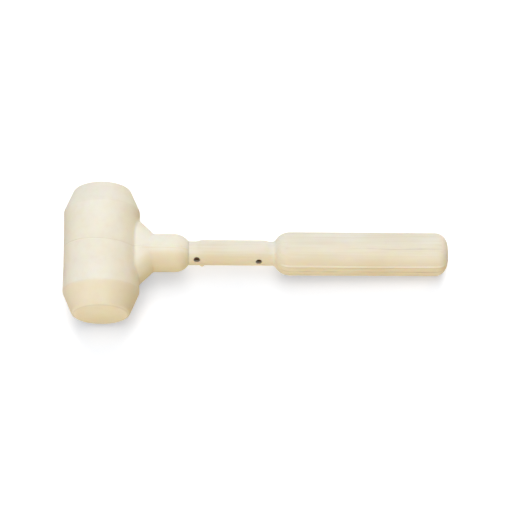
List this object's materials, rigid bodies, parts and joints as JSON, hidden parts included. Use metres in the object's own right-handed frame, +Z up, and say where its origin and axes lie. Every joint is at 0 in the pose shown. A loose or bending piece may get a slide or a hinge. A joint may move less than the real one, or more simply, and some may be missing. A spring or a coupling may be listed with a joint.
{
  "type": "dead-blow mallet",
  "caption": "Two-faced mallet with a cast barrel head on a flared neck, loose steel shot in a canister inside it, and a round cast handle on a steel core.",
  "frame": {"origin": "on the surface that the mallet lies on, under the middle of its bounding box", "axes": "+X along the handle towards the end of the grip, Y along the barrel with the front striking face at -Y, +Z up"},
  "size_m": [0.2873, 0.0988, 0.0566],
  "materials": {
    "head_cream": "satin",
    "handle_cream": "satin",
    "canister_steel": "satin",
    "shot_steel": "satin",
    "core_steel": "matte",
    "plug_plastic": "matte"
  },
  "bodies": {
    "mallet": {"head_casing": "head_cream", "canister_tube": "canister_steel", "canister_cap_front": "canister_steel", "canister_cap_rear": "canister_steel", "canister_collar": "canister_steel", "core_tube": "core_steel", "collar_pin": "core_steel", "core_plug": "plug_plastic", "handle_moulding": "handle_cream"},
    "shot": {"steel_shot": "shot_steel"}
  },
  "joints": [
    {"name": "shot_slide", "type": "slide", "parent": "mallet", "child": "shot", "axis": [0, 1, 0], "range_m": [-0.008, 0.008]}
  ]
}
